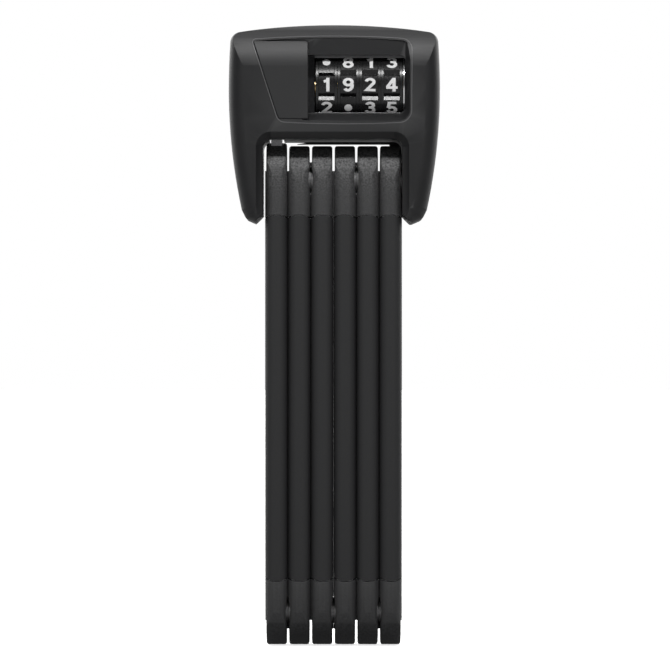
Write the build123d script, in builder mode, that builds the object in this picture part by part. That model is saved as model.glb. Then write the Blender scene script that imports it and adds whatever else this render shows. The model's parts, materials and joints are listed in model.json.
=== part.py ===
"""Folding bicycle lock: six riveted steel bars folded under a head with four dial wheels.

Millimetres, +Z up. The dials face -Y. Z = 0 is the lowest point of the folded bars.
"""
from build123d import *
import math
import os

os.makedirs("parts", exist_ok=True)

# ---------------------------------------------------------------- bars
BAR_COUNT = 6
BAR_PITCH = 7.0          # centre to centre, along X
FIRST_BAR_X = -17.75     # bar 1, the free bar on the left
BAR_WIDTH = 21.0         # along Y
BODY_THICK = 6.99        # along X, where neighbours almost touch
TIP_THICK = 6.3          # along X, at the ends
EDGE_R = 2.7             # rounding of the long edges
RIM_R = 0.8              # rounding of the round ends
LOW_PIVOT_Z = 10.5
TOP_PIVOT_Z = 143.2
LOW_SEAM_Z = 20.7
TOP_SEAM_Z = 131.4
SEAM_BOW = 0.9
SEAM_GAP = 0.3
CORE_THICK = 5.0
CORE_WIDTH = 17.0
FREE_END_RISE = 0.9      # bar 1's top end is a little taller than the others
JOINT_STEP = 5.2         # pivot to the thinned tip, on a jointed face
FREE_STEP = 2.5          # the same on a face without a joint
LENS_HALF = 4.9          # half height of the opening that shows the hubs
LENS_DEPTH = 0.7

# ---------------------------------------------------------------- joints
HUB_R = 5.0
SHANK_R = 4.0
RUN_FIT = 0.06           # radial, bar on rivet
RIVET_HEAD_R = 5.8
RIVET_HEAD_T = 0.5
HEAD_POCKET_R = 6.1
DIMPLE_R = 1.6
DIMPLE_DEPTH = 0.5
HUB_SEAT = 0.02          # radial, cap round its hub
FACE_GAP = 0.03          # each side of a seam between two turning faces

# ---------------------------------------------------------------- head
HEAD_HALF_Y = 17.0
SPLIT_Y = 8.0            # front shell and back shell meet here
SPLIT_GAP = 0.1
WALL = 2.3
FACE_R = 4.5             # rounding round the front and back faces
CAVITY_R = 0.7           # the same inside the shells
FRONT_CREST = 190.2
SHOULDER_X = 31.6
SHOULDER_Z = 187.6
BACK_CREST = 191.1
CROWN_HALF_X = 26.1      # the back shell stands above the front one this far to each side
RECESS_LEFT = -21.9
RECESS_RIGHT = 20.8
RECESS_TOP = 155.35
RECESS_R = 2.6
BACK_LIP_Z = 154.75      # the ceiling hangs a little lower in the back shell
BACK_LIP_LEFT = -11.5
BEVEL = 2.0
BEVEL_DEPTH = 2.4
ARM_TIP_Z = 129.7
PAD_X, PAD_Z = 3.0, 168.5  # flat pad on the back, as proud as the slide on the front
PAD_WIDTH, PAD_HEIGHT = 32.0, 14.0
LINE_WIDTH = 0.3         # the seal round the dial panel
SEAL_RAISE = 0.06
CORE_FRONT_Y = -11.8
CORE_BACK_Y = 12.4
CORE_BOTTOM_Z = 158.2
CORE_TOP_Z = 185.4
CORE_HALF_X = 28.2
ARM_CORE = (23.3, 26.2)  # steel arm on the right, from x to x
LEFT_ARM_CORE = (-26.3, -24.5)
ARM_CORE_Y = 8.0

# ---------------------------------------------------------------- dials
WHEEL_COUNT = 4
WHEEL_PITCH = 6.65
FIRST_WHEEL_X = -2.4
WHEEL_Y = -2.9
WHEEL_Z = 171.8
WHEEL_R = 11.8
COLLAR_R = 11.7          # the rings between the figures, almost flush
LAND_WIDTH = 4.9
LAND_EDGE = 0.1
NOTCH_SIDE = 1.56        # half width of a notch at the rim
NOTCH_DEPTH = 0.88
DOT_SIDE = 0.02          # the steep side, towards the dot
DIGITS = 10
FACING_DIGIT = (1, 9, 2, 4)   # the figure in the middle of the window on each wheel
RING_R = 7.0
RING_BORE_R = 4.8
RING_WEB = 1.2
SPINDLE_R = 3.0
SPINDLE_FIT = 0.08
DRUM_GAP = 0.4           # round the wheels
DRUM_RIGHT_X = 21.6      # end of the drum bore
WASHER_T = 0.45
SPRING_Y = 10.2
SPRING_T = 0.5
FIN_R = 4.4

# ---------------------------------------------------------------- dial panel
PANEL_TOP_LEFT = (-25.5, 185.8)
PANEL_LOW_LEFT = (-17.2, 160.2)
PANEL_LOW_RIGHT = (23.7, 160.2)
PANEL_LOWEST = 159.6
PANEL_LOWEST_X = (PANEL_LOW_LEFT[0] + PANEL_LOW_RIGHT[0]) / 2
PANEL_TOP_RIGHT = (23.9, 185.9)
PANEL_CREST = 186.8
SLIDE_CORNER_R = 1.0
WINDOW = (-12.0, 21.7, 163.2, 180.9)   # x from, x to, z from, z to
SCOOP_Y = -14.4          # floor of the hollow round the window
SCOOP_RIGHT = 23.2
SCOOP_BOTTOM = 160.6
SCOOP_FLOOR_LOW = 162.9
SCOOP_RIM = 0.45         # of the panel left standing inside the seal

# ---------------------------------------------------------------- release slide, bolt and tongue
SLIDE_TRAVEL = 3.5
SLIDE_RIGHT = -8.0
SLIDE_LOW = 161.3
SLIDE_HIGH = 185.0
SLIDE_RAISE = 0.2
SLIDE_THICK = 1.9
SLIDE_FIT = 0.15
CARRIER = (-27.3, -25.3) # the leg behind the front wall
PLATE_Y = (-14.2, -12.2) # the carrier's plate behind the panel
PLATE_Z = 173.0
PLATE_HEIGHT = 5.0
PLATE_END_X = -13.0
POST_WIDTH = 4.0
BOLT_R = 1.5
BOLT_Y = 0.0
BOLT_Z = 161.5
BOLT_TIP_X = -20.3
TONGUE_THICK = 3.4
TONGUE_HALF_Y = 4.5
TONGUE_REACH = 23.0      # from the top pivot
SLOT = (-20.0, -15.5)
SLOT_FRONT_Y = -5.9
SLOT_TOP_Z = 167.2

# ---------------------------------------------------------------- screws
LONG_SCREWS = [(-25.4, 180.0), (25.4, 180.0)]
SHORT_SCREWS = [(-25.6, 162.0), (25.6, 162.0)]
LONG_SEAT_Y = 13.6       # under the screw head
SHORT_SEAT_Y = 15.2
SHORT_END_Y = 4.6
SCREW_HEAD_R = 2.5
SCREW_HEAD_T = 1.3
SCREW_R = 1.4
SCREW_FIT = 0.1
FRONT_BOSS_R = 2.7
BACK_BOSS_R = 3.8
HEX_R = 1.2
HEX_DEPTH = 0.9

CUT = 100.0              # longer and taller than the head, for cutting boxes
BAR_X = [FIRST_BAR_X + BAR_PITCH * i for i in range(BAR_COUNT)]
WHEEL_X = [FIRST_WHEEL_X + WHEEL_PITCH * i for i in range(WHEEL_COUNT)]
X_AXIS_AT = Plane(origin=(0, 0, 0), x_dir=(0, 1, 0), z_dir=(1, 0, 0))  # sketch (y, z), extrudes to +X


def save(builder, name):
    """Label one piece and write its file."""
    builder.part.label = name
    export_step(builder.part, f"parts/{name}.step")


def across(x):
    """Sketch plane at x: local axes are y and z, and the normal is +X."""
    return X_AXIS_AT.offset(x)


def facing(y):
    """Sketch plane at y: local axes are x and z, and the normal is -Y."""
    return Plane.XZ.offset(-y)


# ================================================================ bars
def jointed_sides(index):
    """Which face (+1 right, -1 left) of this bar carries the joint, at the top and at the bottom."""
    top = 1 if index % 2 == 1 else -1
    if index == 0:
        top = 0
    low = 1 if index % 2 == 0 else -1
    return top, low


def tip_block(x, centre_z, way):
    """A round end with a softened rim, and everything on the inner side of its centre."""
    half = BAR_WIDTH / 2
    with BuildPart() as block:
        with BuildSketch(Plane((x, 0, centre_z), x_dir=(1, 0, 0), z_dir=(0, -1, 0))):
            with BuildLine():
                side = TIP_THICK / 2
                Polyline(
                    (-BODY_THICK / 2, 0),
                    (-BODY_THICK / 2, half - 2 * RIM_R),
                    (-side, half - RIM_R),
                )
                ThreePointArc(
                    (-side, half - RIM_R),
                    (-side + RIM_R * (1 - math.sqrt(0.5)), half - RIM_R * (1 - math.sqrt(0.5))),
                    (-side + RIM_R, half),
                )
                Line((-side + RIM_R, half), (side - RIM_R, half))
                ThreePointArc(
                    (side - RIM_R, half),
                    (side - RIM_R * (1 - math.sqrt(0.5)), half - RIM_R * (1 - math.sqrt(0.5))),
                    (side, half - RIM_R),
                )
                Polyline(
                    (side, half - RIM_R),
                    (BODY_THICK / 2, half - 2 * RIM_R),
                    (BODY_THICK / 2, 0),
                    (-BODY_THICK / 2, 0),
                )
            make_face()
        revolve(axis=Axis((x, 0, centre_z), (1, 0, 0)))
        with Locations((x, 0, centre_z - way * half)):
            Box(BODY_THICK, BAR_WIDTH, 2 * half)
    return block.part


def core_solid(x, grow=0.0, rise=0.0):
    """The flat steel bar inside, or the pocket for it."""
    radius = CORE_WIDTH / 2 + grow
    with BuildPart() as solid:
        with BuildSketch(across(x - CORE_THICK / 2 - grow)):
            for centre_z in (LOW_PIVOT_Z, TOP_PIVOT_Z + rise):
                with Locations((0, centre_z)):
                    Circle(radius)
            with Locations((0, (LOW_PIVOT_Z + TOP_PIVOT_Z + rise) / 2)):
                Rectangle(2 * radius, TOP_PIVOT_Z + rise - LOW_PIVOT_Z)
        extrude(amount=CORE_THICK + 2 * grow)
    return solid.part


def zone(x, low, high, low_bow, high_bow):
    """The part of a bar between two seams; a bow is how far the seam's middle sits above its ends."""
    half = BODY_THICK / 2
    with BuildPart() as part_zone:
        with BuildSketch(facing(BAR_WIDTH / 2)):
            with BuildLine():
                Line((x - half, low), (x - half, high))
                if high_bow:
                    ThreePointArc((x - half, high), (x, high + high_bow), (x + half, high))
                else:
                    Line((x - half, high), (x + half, high))
                Line((x + half, high), (x + half, low))
                if low_bow:
                    ThreePointArc((x + half, low), (x, low + low_bow), (x - half, low))
                else:
                    Line((x + half, low), (x - half, low))
            make_face()
        extrude(amount=BAR_WIDTH)
    return part_zone.part


def make_sheath(index):
    """Soft sleeve over the middle of a bar."""
    x = BAR_X[index]
    region = zone(x, LOW_SEAM_Z + SEAM_GAP, TOP_SEAM_Z - SEAM_GAP, -SEAM_BOW, SEAM_BOW)
    pocket = core_solid(x)
    with BuildPart() as sheath:
        with BuildSketch(Plane.XY.offset(LOW_SEAM_Z - 2)):
            with Locations((x, 0)):
                RectangleRounded(BODY_THICK, BAR_WIDTH, EDGE_R)
        extrude(amount=TOP_SEAM_Z - LOW_SEAM_Z + 4)
        add(region, mode=Mode.INTERSECT)
        add(pocket, mode=Mode.SUBTRACT)
    return sheath


def make_cap(index, top):
    """Hard cap moulded round one end of a bar."""
    x = BAR_X[index]
    rise = FREE_END_RISE if top and index == 0 else 0.0
    way = 1 if top else -1
    pivot_z = TOP_PIVOT_Z if top else LOW_PIVOT_Z
    centre_z = pivot_z + rise
    joint = jointed_sides(index)[0 if top else 1]
    half = BODY_THICK / 2
    if top:
        region = zone(x, TOP_SEAM_Z, centre_z + BAR_WIDTH, SEAM_BOW, 0)
    else:
        region = zone(x, -BAR_WIDTH, LOW_SEAM_Z, 0, -SEAM_BOW)
    rounded = tip_block(x, centre_z, way)
    pocket = core_solid(x, rise=FREE_END_RISE if index == 0 else 0.0)
    lens_r = (LENS_HALF**2 + LENS_DEPTH**2) / (2 * LENS_DEPTH)
    with BuildPart() as cap:
        with BuildSketch(Plane.XY.offset(centre_z - BAR_WIDTH)):
            with Locations((x, 0)):
                RectangleRounded(BODY_THICK, BAR_WIDTH, EDGE_R)
        extrude(amount=2 * BAR_WIDTH)
        add(region, mode=Mode.INTERSECT)
        add(rounded, mode=Mode.INTERSECT)
        add(pocket, mode=Mode.SUBTRACT)
        for side in (-1, 1):
            step = JOINT_STEP if side == joint else FREE_STEP
            thin = (BODY_THICK - TIP_THICK) / 2
            with Locations((x + side * (half - thin / 2), 0, pivot_z + way * (step + BAR_WIDTH / 2))):
                Box(thin, BAR_WIDTH, BAR_WIDTH, mode=Mode.SUBTRACT)
            if side == joint:
                lens_x = x + side * (half - LENS_DEPTH + lens_r)
                with Locations(Location((lens_x, 0, pivot_z), (90, 0, 0))):
                    Cylinder(lens_r, BAR_WIDTH + 1, mode=Mode.SUBTRACT)
        if joint:
            with Locations(Location((x + joint * half / 2, 0, pivot_z), (0, 90, 0))):
                Cylinder(HUB_R + HUB_SEAT, half, mode=Mode.SUBTRACT)
            with Locations(Location((x - joint * half / 2, 0, pivot_z), (0, 90, 0))):
                Cylinder(HEAD_POCKET_R, half, mode=Mode.SUBTRACT)
    return cap


def make_core(index):
    """Flat steel bar with its rivet holes."""
    x = BAR_X[index]
    body = core_solid(x, rise=FREE_END_RISE if index == 0 else 0.0)
    top_joint = jointed_sides(index)[0]
    with BuildPart() as core:
        add(body)
        # the bar nearer the head holds the rivet; the next one turns on it
        top_hole = SHANK_R if index % 2 == 0 else SHANK_R + RUN_FIT
        low_hole = SHANK_R if index % 2 == 1 else SHANK_R + RUN_FIT
        holes = [(LOW_PIVOT_Z, low_hole)]
        if top_joint:
            holes.append((TOP_PIVOT_Z, top_hole))
        for z, radius in holes:
            with Locations(Location((x, 0, z), (0, 90, 0))):
                Cylinder(radius, CORE_THICK + 1, mode=Mode.SUBTRACT)
    return core


def make_hubs(index):
    """Raised bearing rings that meet the neighbour's rings."""
    x = BAR_X[index]
    top_joint, low_joint = jointed_sides(index)
    depth = (BAR_PITCH - CORE_THICK) / 2 - FACE_GAP
    spots = [(LOW_PIVOT_Z, low_joint)]
    if top_joint:
        spots.append((TOP_PIVOT_Z, top_joint))
    with BuildPart() as hubs:
        for z, side in spots:
            with Locations(Location((x + side * (CORE_THICK + depth) / 2, 0, z), (0, 90, 0))):
                Cylinder(HUB_R, depth)
                Cylinder(SHANK_R + RUN_FIT, depth, mode=Mode.SUBTRACT)
    return hubs


# rivets that join neighbouring bars: (name, left bar index, z)
for left in range(BAR_COUNT - 1):
    z = LOW_PIVOT_Z if left % 2 == 0 else TOP_PIVOT_Z
    middle = (BAR_X[left] + BAR_X[left + 1]) / 2
    grip = BAR_PITCH + CORE_THICK
    with BuildPart() as rivet:
        with Locations(Location((middle, 0, z), (0, 90, 0))):
            Cylinder(SHANK_R, grip + 2 * FACE_GAP)
        for side in (-1, 1):
            offset_x = grip / 2 + FACE_GAP + RIVET_HEAD_T / 2
            with Locations(Location((middle + side * offset_x, 0, z), (0, 90, 0))):
                Cylinder(RIVET_HEAD_R, RIVET_HEAD_T)
        chamfer(rivet.edges().filter_by(GeomType.CIRCLE).group_by(SortBy.RADIUS)[-1], 0.2)
        for side in (-1, 1):
            end_x = grip / 2 + FACE_GAP + RIVET_HEAD_T
            with Locations(Location((middle + side * end_x, 0, z), (0, 90, 0))):
                Cylinder(DIMPLE_R, DIMPLE_DEPTH, mode=Mode.SUBTRACT)
    save(rivet, f"rivet_{left + 1}_{left + 2}")

# the tongue that locks into the head, let into the end of bar 1
TONGUE_ROOT_Z = TOP_PIVOT_Z + 5.0
with BuildPart() as tongue:
    with BuildSketch(across(BAR_X[0] - TONGUE_THICK / 2)):
        with BuildLine():
            reach_z = math.sqrt(TONGUE_REACH**2 - TONGUE_HALF_Y**2) + TOP_PIVOT_Z
            Line((-TONGUE_HALF_Y, TONGUE_ROOT_Z), (-TONGUE_HALF_Y, reach_z))
            ThreePointArc(
                (-TONGUE_HALF_Y, reach_z),
                (0, TOP_PIVOT_Z + TONGUE_REACH),
                (TONGUE_HALF_Y, reach_z),
            )
            Line((TONGUE_HALF_Y, reach_z), (TONGUE_HALF_Y, TONGUE_ROOT_Z))
            Line((TONGUE_HALF_Y, TONGUE_ROOT_Z), (-TONGUE_HALF_Y, TONGUE_ROOT_Z))
        make_face()
        with Locations((BOLT_Y, BOLT_Z)):
            Circle(BOLT_R + 0.25, mode=Mode.SUBTRACT)
    extrude(amount=TONGUE_THICK)
    tip_edges = tongue.edges().filter_by(GeomType.CIRCLE).filter_by(lambda e: e.radius > TONGUE_REACH - 1)
    chamfer(tip_edges, 0.5)
save(tongue, "lock_tongue")
with BuildPart() as tongue_root:
    with Locations((BAR_X[0], 0, TONGUE_ROOT_Z + TONGUE_REACH / 2)):
        Box(TONGUE_THICK, 2 * TONGUE_HALF_Y, TONGUE_REACH)


def slotted(builder):
    """The same piece with the tongue's seat cut out of it."""
    with BuildPart() as cut:
        add(builder.part)
        add(tongue_root.part, mode=Mode.SUBTRACT)
    return cut


for index in range(BAR_COUNT):
    number = index + 1
    core = make_core(index)
    top_cap = make_cap(index, True)
    if index == 0:
        core = slotted(core)
        top_cap = slotted(top_cap)
    save(core, f"bar_{number}_core")
    save(make_sheath(index), f"bar_{number}_sheath")
    save(top_cap, f"bar_{number}_top_cap")
    save(make_cap(index, False), f"bar_{number}_bottom_cap")
    save(make_hubs(index), f"bar_{number}_hubs")


# ================================================================ head outside
def head_outline(crest, inset=0.0):
    """Front outline of the head, as a sketch of x and z."""
    rise = crest - SHOULDER_Z
    radius = (SHOULDER_X**2 + rise**2) / (2 * rise)
    mid_x = SHOULDER_X / 2
    mid_z = crest - radius + math.sqrt(radius**2 - mid_x**2)
    with BuildSketch() as outline:
        with BuildLine():
            Polyline((0, ARM_TIP_Z), (24.0, ARM_TIP_Z), (27.0, ARM_TIP_Z + 1.3), (28.3, 133.6))
            flank = ThreePointArc((28.3, 133.6), (31.35, 152.5), (32.3, 171.0))
            TangentArc((32.3, 171.0), (SHOULDER_X, SHOULDER_Z), tangent=flank % 1)
            ThreePointArc((SHOULDER_X, SHOULDER_Z), (mid_x, mid_z), (0, crest))
            mirror(about=Plane.YZ)
        make_face()
        shoulders = outline.vertices().sort_by(Axis.Y)[-2:]
        fillet(shoulders, 3.4)
        tips = outline.vertices().filter_by(lambda v: v.Y < 132 and abs(v.X) > 25)
        fillet(tips, 1.6)
        if inset:
            offset(amount=-inset, mode=Mode.REPLACE)
    return outline.sketch


def side_profile(inset=0.0):
    """Side outline of the head, as a sketch of y and z: flat faces that roll over at the top."""
    front = HEAD_HALF_Y - inset
    top = BACK_CREST + 0.5 - inset
    with BuildSketch() as profile:
        with BuildLine():
            Line((-front, 120), (-front, 177.5))
            ThreePointArc((-front, 177.5), (-front + 2.1, 185.4 - inset / 2), (-9.5, top))
            Line((-9.5, top), (9.5, top))
            ThreePointArc((9.5, top), (front - 2.1, 185.4 - inset / 2), (front, 177.5))
            Line((front, 177.5), (front, 120))
            Line((front, 120), (-front, 120))
        make_face()
    return profile.sketch


def head_solid(crest, inset=0.0):
    """The head as a full solid, before the recess and the dial opening."""
    depth = HEAD_HALF_Y - inset
    with BuildPart() as solid:
        with BuildSketch(facing(0)):
            add(head_outline(crest, inset))
        extrude(amount=depth, both=True)
        rims = solid.edges().filter_by(lambda e: abs(abs(e.center().Y) - depth) < 0.01)
        fillet(rims, CAVITY_R if inset else FACE_R)
        with BuildSketch(across(0)):
            add(side_profile(inset))
        extrude(amount=40, both=True, mode=Mode.INTERSECT)
    return solid.part


def recess_size(grow):
    """Middle x, middle z, width and height of the opening for the bars."""
    low = ARM_TIP_Z - 20
    high = RECESS_TOP + grow
    left = RECESS_LEFT - grow
    right = RECESS_RIGHT + grow
    return (left + right) / 2, (low + high) / 2, right - left, high - low


def recess_funnel(side):
    """The bevelled mouth of the recess, at the front (-1) or the back (1)."""
    with BuildPart() as funnel:
        for depth, grow in ((HEAD_HALF_Y - BEVEL_DEPTH, 0.0), (HEAD_HALF_Y, BEVEL)):
            middle_x, middle_z, width, height = recess_size(grow)
            with BuildSketch(facing(side * depth)):
                with Locations((middle_x, middle_z)):
                    RectangleRounded(width, height, RECESS_R + grow)
        loft()
    return funnel.part


def recess_solid():
    """The recess with a bevel at its front and back openings."""
    funnels = [recess_funnel(side) for side in (-1, 1)]
    middle_x, middle_z, width, height = recess_size(0.0)
    with BuildPart() as recess:
        with BuildSketch(facing(HEAD_HALF_Y + 1)):
            with Locations((middle_x, middle_z)):
                RectangleRounded(width, height, RECESS_R)
        extrude(amount=2 * HEAD_HALF_Y + 2)
        for funnel in funnels:
            add(funnel)
        # oblique corners at the bottom of the arms
        for edge_x, way in ((RECESS_LEFT, -1), (RECESS_RIGHT, 1)):
            with BuildSketch(facing(HEAD_HALF_Y + 1)):
                with BuildLine():
                    Polyline(
                        (edge_x - way, ARM_TIP_Z - 1),
                        (edge_x - way, ARM_TIP_Z + 3.6),
                        (edge_x + way * 3.2, ARM_TIP_Z - 0.6),
                        (edge_x + way * 3.2, ARM_TIP_Z - 1),
                        close=True,
                    )
                make_face()
            extrude(amount=2 * HEAD_HALF_Y + 2)
    return recess.part


def cavity_solid():
    """Space inside the shells."""
    inner = head_solid(FRONT_CREST, WALL)
    with BuildPart() as cavity:
        add(inner)
        with Locations(
            ((RECESS_LEFT + RECESS_RIGHT) / 2, 0, (RECESS_TOP + WALL + ARM_TIP_Z - 10) / 2)
        ):
            Box(
                RECESS_RIGHT - RECESS_LEFT + 2 * WALL,
                3 * HEAD_HALF_Y,
                RECESS_TOP + WALL - ARM_TIP_Z + 10,
                mode=Mode.SUBTRACT,
            )
        with Locations((0, 0, ARM_TIP_Z - 8 + WALL)):
            Box(80, 60, 16, mode=Mode.SUBTRACT)
    return cavity.part


def panel_sketch(inset=0.0):
    """Outline of the dial panel, x and z: a slanting left side and a bowed top."""
    with BuildSketch() as sketch:
        with BuildLine():
            Line(PANEL_TOP_LEFT, PANEL_LOW_LEFT)
            ThreePointArc(PANEL_LOW_LEFT, (PANEL_LOWEST_X, PANEL_LOWEST), PANEL_LOW_RIGHT)
            Line(PANEL_LOW_RIGHT, PANEL_TOP_RIGHT)
            ThreePointArc(PANEL_TOP_RIGHT, (0.0, PANEL_CREST), PANEL_TOP_LEFT)
        make_face()
        corners = sketch.vertices()
        left = corners.sort_by(Axis.X)[:2]
        right = corners.sort_by(Axis.X)[-2:]
        top_left = left.sort_by(Axis.Y)[-1]
        fillet(top_left, 1.2)
        fillet(sketch.vertices().sort_by(Axis.X)[-2:].sort_by(Axis.Y)[0], 4.0)
        fillet(sketch.vertices().sort_by(Axis.X)[-2:].sort_by(Axis.Y)[-1], 3.6)
        fillet(sketch.vertices().sort_by(Axis.Y)[:2].sort_by(Axis.X)[0], 3.0)
        if inset:
            offset(amount=-inset, mode=Mode.REPLACE)
    return sketch.sketch


def slide_sketch(grow=0.0):
    """Outline of the release slide, x and z: the panel's left part with a rounded upper corner."""
    outline = panel_sketch(LINE_WIDTH + SLIDE_FIT - grow)
    reach = 40.0
    with BuildSketch() as frame:
        with Locations((SLIDE_RIGHT + grow - reach / 2, (SLIDE_LOW + SLIDE_HIGH) / 2)):
            Rectangle(reach, SLIDE_HIGH - SLIDE_LOW + 2 * grow)
        upper_right = frame.vertices().sort_by(Axis.X)[-2:].sort_by(Axis.Y)[-1]
        fillet(upper_right, SLIDE_CORNER_R)
        add(outline, mode=Mode.INTERSECT)
    return frame.sketch


def slab(outline, y_from, y_to):
    """Extrude an x-z outline between two depths."""
    with BuildPart() as solid:
        with BuildSketch(facing(y_to)):
            add(outline)
        extrude(amount=y_to - y_from)
    return solid.part


def skin_band(raise_by, thick):
    """The head's front skin as a band that runs straight along X."""
    with BuildPart() as band:
        with BuildSketch(across(-40)):
            add(side_profile(-raise_by))
        extrude(amount=80)
        with BuildSketch(across(-40)):
            add(side_profile(thick - raise_by))
        extrude(amount=80, mode=Mode.SUBTRACT)
        with Locations((0, 30 - 9.5, 160)):
            Box(CUT, 60, CUT, mode=Mode.SUBTRACT)
    return band.part


front_full = head_solid(FRONT_CREST)
crown = head_solid(BACK_CREST)
recess = recess_solid()
cavity = cavity_solid()
panel = slab(panel_sketch(), -HEAD_HALF_Y - 2, CORE_FRONT_Y + 0.6)
panel_inner = slab(panel_sketch(LINE_WIDTH), -HEAD_HALF_Y - 2, CORE_FRONT_Y - 0.2)
track_band = skin_band(SLIDE_RAISE + 1, SLIDE_THICK + SLIDE_FIT + 1)
slide_track = slab(slide_sketch(SLIDE_FIT), -HEAD_HALF_Y - 2, -9.5)

with BuildPart() as tongue_way:
    with Locations(
        (
            (SLOT[0] + SLOT[1]) / 2,
            (SLOT_FRONT_Y + HEAD_HALF_Y + 2) / 2,
            (RECESS_TOP - 2 + SLOT_TOP_Z) / 2,
        )
    ):
        Box(SLOT[1] - SLOT[0], HEAD_HALF_Y + 2 - SLOT_FRONT_Y, SLOT_TOP_Z - RECESS_TOP + 2)

with BuildPart() as arm_bore:
    with Locations(Location((RECESS_RIGHT + 1, 0, TOP_PIVOT_Z), (0, 90, 0))):
        Cylinder(HUB_R + HUB_SEAT, 5)

# ---------------------------------------------------------------- front shell
# the long screws end in bosses that stand on the front wall
with BuildPart() as front_cavity:
    add(cavity)
    boss_end_y = CORE_FRONT_Y - 0.1
    for screw_x, screw_z in LONG_SCREWS:
        with Locations(Location((screw_x, (boss_end_y - HEAD_HALF_Y) / 2, screw_z), (90, 0, 0))):
            Cylinder(FRONT_BOSS_R, boss_end_y + HEAD_HALF_Y, mode=Mode.SUBTRACT)

with BuildPart() as front_shell:
    add(front_full)
    with Locations((0, SPLIT_Y + 30, 160)):
        Box(CUT, 60, CUT, mode=Mode.SUBTRACT)
    add(recess, mode=Mode.SUBTRACT)
    add(front_cavity.part, mode=Mode.SUBTRACT)
    add(panel, mode=Mode.SUBTRACT)
    add(tongue_way.part, mode=Mode.SUBTRACT)
    add(arm_bore.part, mode=Mode.SUBTRACT)
    for screw_x, screw_z in LONG_SCREWS:
        with Locations(Location((screw_x, CORE_FRONT_Y - 1.0, screw_z), (90, 0, 0))):
            Cylinder(SCREW_R, 3.4, mode=Mode.SUBTRACT)
save(front_shell, "front_shell")

# ---------------------------------------------------------------- back shell
with BuildPart() as back_cavity:
    add(cavity)
    boss_from_y = CORE_BACK_Y + 0.1
    for screw_x, screw_z in LONG_SCREWS:
        with Locations(Location((screw_x, (boss_from_y + HEAD_HALF_Y) / 2, screw_z), (90, 0, 0))):
            Cylinder(BACK_BOSS_R, HEAD_HALF_Y - boss_from_y, mode=Mode.SUBTRACT)

with BuildPart() as crown_middle:
    add(crown)
    with Locations((0, 0, 190)):
        Box(2 * CROWN_HALF_X, 3 * HEAD_HALF_Y, 20, mode=Mode.INTERSECT)

with BuildPart() as back_shell:
    add(front_full)
    add(crown_middle.part)
    with Locations((0, SPLIT_Y + SPLIT_GAP - 30, 160)):
        Box(CUT, 60, CUT, mode=Mode.SUBTRACT)
    with BuildSketch(facing(HEAD_HALF_Y + SLIDE_RAISE)):
        with Locations((PAD_X, PAD_Z)):
            RectangleRounded(PAD_WIDTH, PAD_HEIGHT, 2.0)
    extrude(amount=1.0)
    add(recess, mode=Mode.SUBTRACT)
    # lower lip of the ceiling, with a sloped left end and a filled right corner
    lip_back_y = HEAD_HALF_Y - BEVEL_DEPTH
    lip_front_y = lip_back_y - 4.4
    with BuildSketch(facing(lip_back_y)):
        with BuildLine():
            Polyline(
                (BACK_LIP_LEFT + 3.8, RECESS_TOP + 1),
                (BACK_LIP_LEFT + 3.8, RECESS_TOP),
                (BACK_LIP_LEFT, BACK_LIP_Z),
                (RECESS_RIGHT - 3.8, BACK_LIP_Z),
                (RECESS_RIGHT - 0.3, 149.0),
                (RECESS_RIGHT, 148.6),
                (RECESS_RIGHT + 1, 148.6),
                (RECESS_RIGHT + 1, RECESS_TOP + 1),
                close=True,
            )
        make_face()
    extrude(amount=lip_back_y - lip_front_y)
    add(back_cavity.part, mode=Mode.SUBTRACT)
    add(tongue_way.part, mode=Mode.SUBTRACT)
    for spots, seat_y in ((LONG_SCREWS, LONG_SEAT_Y), (SHORT_SCREWS, SHORT_SEAT_Y)):
        for screw_x, screw_z in spots:
            with Locations(Location((screw_x, seat_y + 3, screw_z), (90, 0, 0))):
                Cylinder(SCREW_HEAD_R + 0.25, 6, mode=Mode.SUBTRACT)
            with Locations(Location((screw_x, seat_y, screw_z), (90, 0, 0))):
                Cylinder(SCREW_R + SCREW_FIT, 12, mode=Mode.SUBTRACT)
save(back_shell, "back_shell")

# ---------------------------------------------------------------- dial panel and its seal
with BuildPart() as panel_seal:
    add(skin_band(SEAL_RAISE, SEAL_RAISE + 1.0))
    add(panel, mode=Mode.INTERSECT)
    add(panel_inner, mode=Mode.SUBTRACT)
save(panel_seal, "panel_seal")

# the hollow round the window: sloping walls below and to the right, open at the top
scoop_rim = slab(panel_sketch(LINE_WIDTH + SCOOP_RIM), -HEAD_HALF_Y - 2, SCOOP_Y)
with BuildPart() as scoop:
    for y, right, low, radius in (
        (-HEAD_HALF_Y - 0.05, SCOOP_RIGHT, SCOOP_BOTTOM, 3.6),
        (SCOOP_Y, WINDOW[1], SCOOP_FLOOR_LOW, 2.0),
    ):
        high = BACK_CREST
        left = WINDOW[0]
        with BuildSketch(facing(y)):
            with Locations(((left + right) / 2, (low + high) / 2)):
                RectangleRounded(right - left, high - low, radius)
    loft()
    add(scoop_rim, mode=Mode.INTERSECT)

# the same hollow runs on above the slide
with BuildPart() as ledge:
    add(scoop_rim)
    with Locations((0, 0, SLIDE_HIGH + SLIDE_FIT + 5)):
        Box(100, 100, 10, mode=Mode.INTERSECT)

with BuildPart() as track:
    add(slide_track)
    add(track_band, mode=Mode.INTERSECT)

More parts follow.
